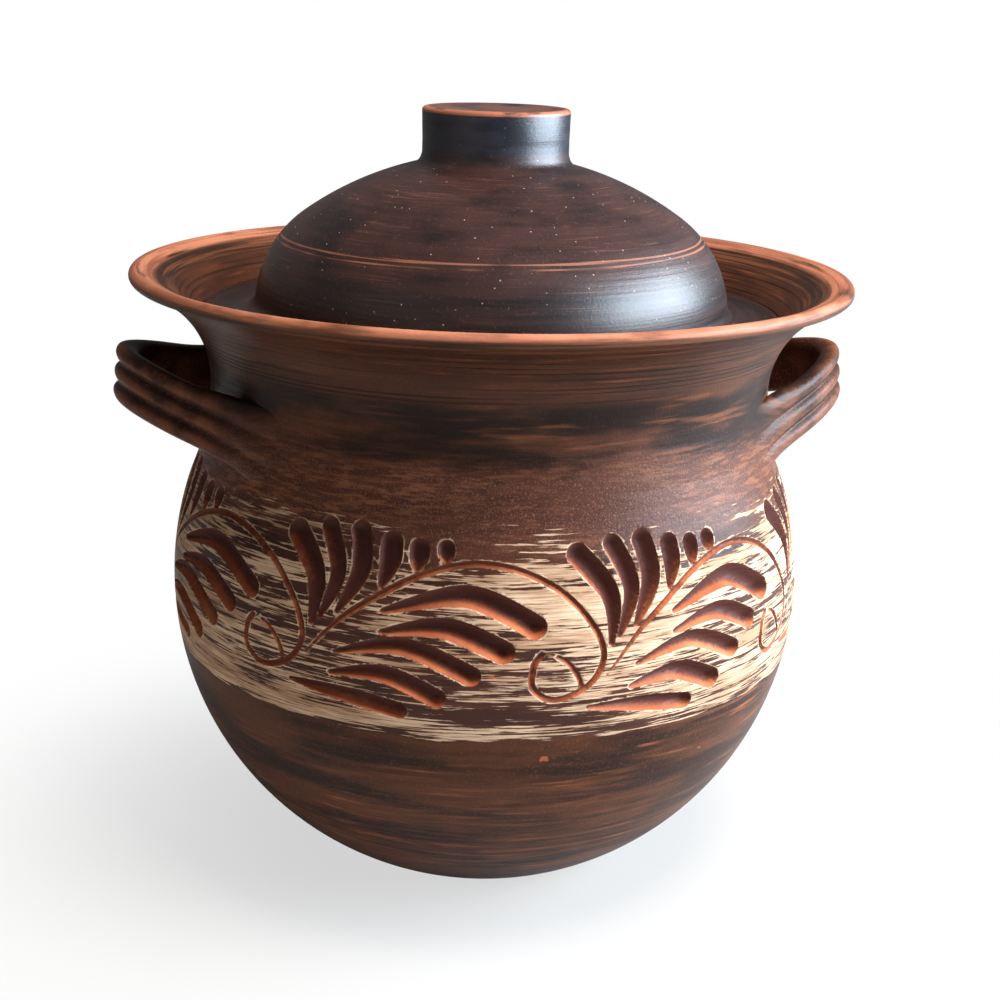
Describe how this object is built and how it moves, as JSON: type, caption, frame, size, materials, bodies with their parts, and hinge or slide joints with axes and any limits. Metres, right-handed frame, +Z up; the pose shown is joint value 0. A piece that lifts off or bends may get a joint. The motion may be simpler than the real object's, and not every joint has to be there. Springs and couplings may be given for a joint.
{
  "type": "clay roaster",
  "caption": "Round-bellied clay roaster with a flared neck, two strap loop handles, carved leaf scrolls round the belly and a domed lid with a flat button knob.",
  "frame": {"origin": "centre of the flat foot, on the surface the pot stands on", "axes": "+Z up along the pot's axis, -Y the side seen in the picture, +X and -X through the two handles"},
  "size_m": [0.2536, 0.2404, 0.2582],
  "materials": {
    "pot_clay": "burnished dark brown slip over orange clay, scraped paler in a band round the belly",
    "lid_clay": "burnished near-black slip, satin, with fine turning scratches"
  },
  "bodies": {
    "root": {"pot": "pot_clay", "lid": "lid_clay"}
  },
  "joints": []
}
